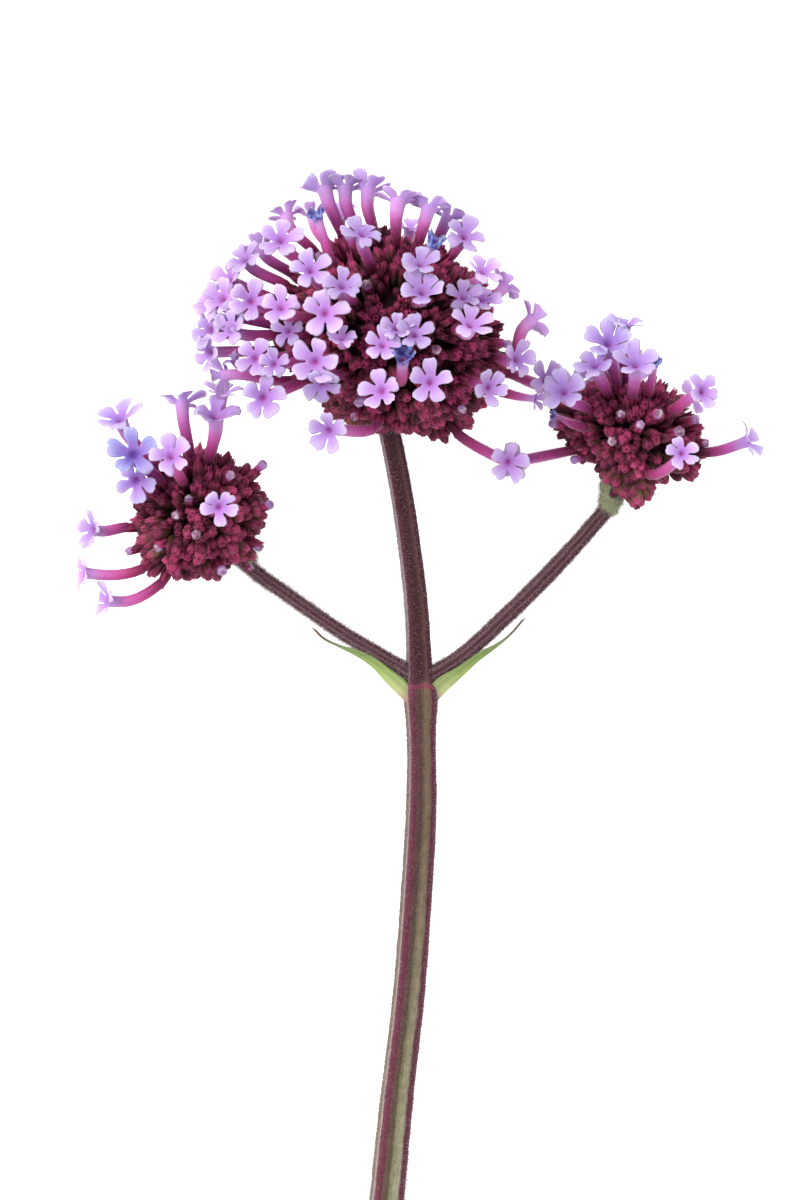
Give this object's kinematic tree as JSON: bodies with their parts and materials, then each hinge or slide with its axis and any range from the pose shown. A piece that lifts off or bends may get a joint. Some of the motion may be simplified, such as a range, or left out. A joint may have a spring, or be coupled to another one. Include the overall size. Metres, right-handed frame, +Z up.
{
  "type": "verbena sprig",
  "caption": "Cut flowering sprig lying down: a square stem that forks into two side branches, with round heads of small tubular five-petalled florets.",
  "frame": {"origin": "on the surface that the sprig lies on, under the middle of its outline", "axes": "+Y along the stem from its cut end towards the central head, +X to the side of the right branch, +Z up"},
  "size_m": [0.0885, 0.1401, 0.0423],
  "materials": {
    "stem": "matte, downy maroon ridges with olive grooves",
    "branch": "matte, downy maroon",
    "bract": "satin green leaf with a brown tip",
    "calyx": "matte, downy dark maroon",
    "floret": "soft satin lavender petals with magenta tubes"
  },
  "bodies": {
    "root": {"central_calyxes": "calyx", "central_florets_01": "floret", "central_florets_02": "floret", "central_florets_03": "floret", "central_florets_04": "floret", "central_florets_05": "floret", "central_florets_06": "floret", "central_florets_07": "floret", "central_florets_08": "floret", "central_florets_09": "floret", "central_florets_10": "floret", "central_florets_11": "floret", "central_florets_12": "floret", "central_florets_13": "floret", "central_florets_14": "floret", "central_florets_15": "floret", "central_florets_16": "floret", "central_florets_17": "floret", "central_florets_18": "floret", "central_florets_19": "floret", "central_florets_20": "floret", "central_florets_21": "floret", "central_florets_22": "floret", "central_florets_23": "floret", "central_florets_24": "floret", "central_florets_25": "floret", "central_florets_26": "floret", "central_florets_27": "floret", "central_florets_28": "floret", "central_florets_29": "floret", "central_florets_30": "floret", "left_bract": "bract", "left_branch": "branch", "left_calyxes": "calyx", "left_florets_01": "floret", "left_florets_02": "floret", "left_florets_03": "floret", "left_florets_04": "floret", "left_florets_05": "floret", "left_florets_06": "floret", "left_florets_07": "floret", "left_florets_08": "floret", "left_florets_09": "floret", "left_florets_10": "floret", "main_stem": "stem", "right_bract": "bract", "right_branch": "branch", "right_calyxes": "calyx", "right_florets_01": "floret", "right_florets_02": "floret", "right_florets_03": "floret", "right_florets_04": "floret", "right_florets_05": "floret", "right_florets_06": "floret", "right_florets_07": "floret", "right_florets_08": "floret", "right_florets_09": "floret", "right_florets_10": "floret"}
  },
  "joints": []
}
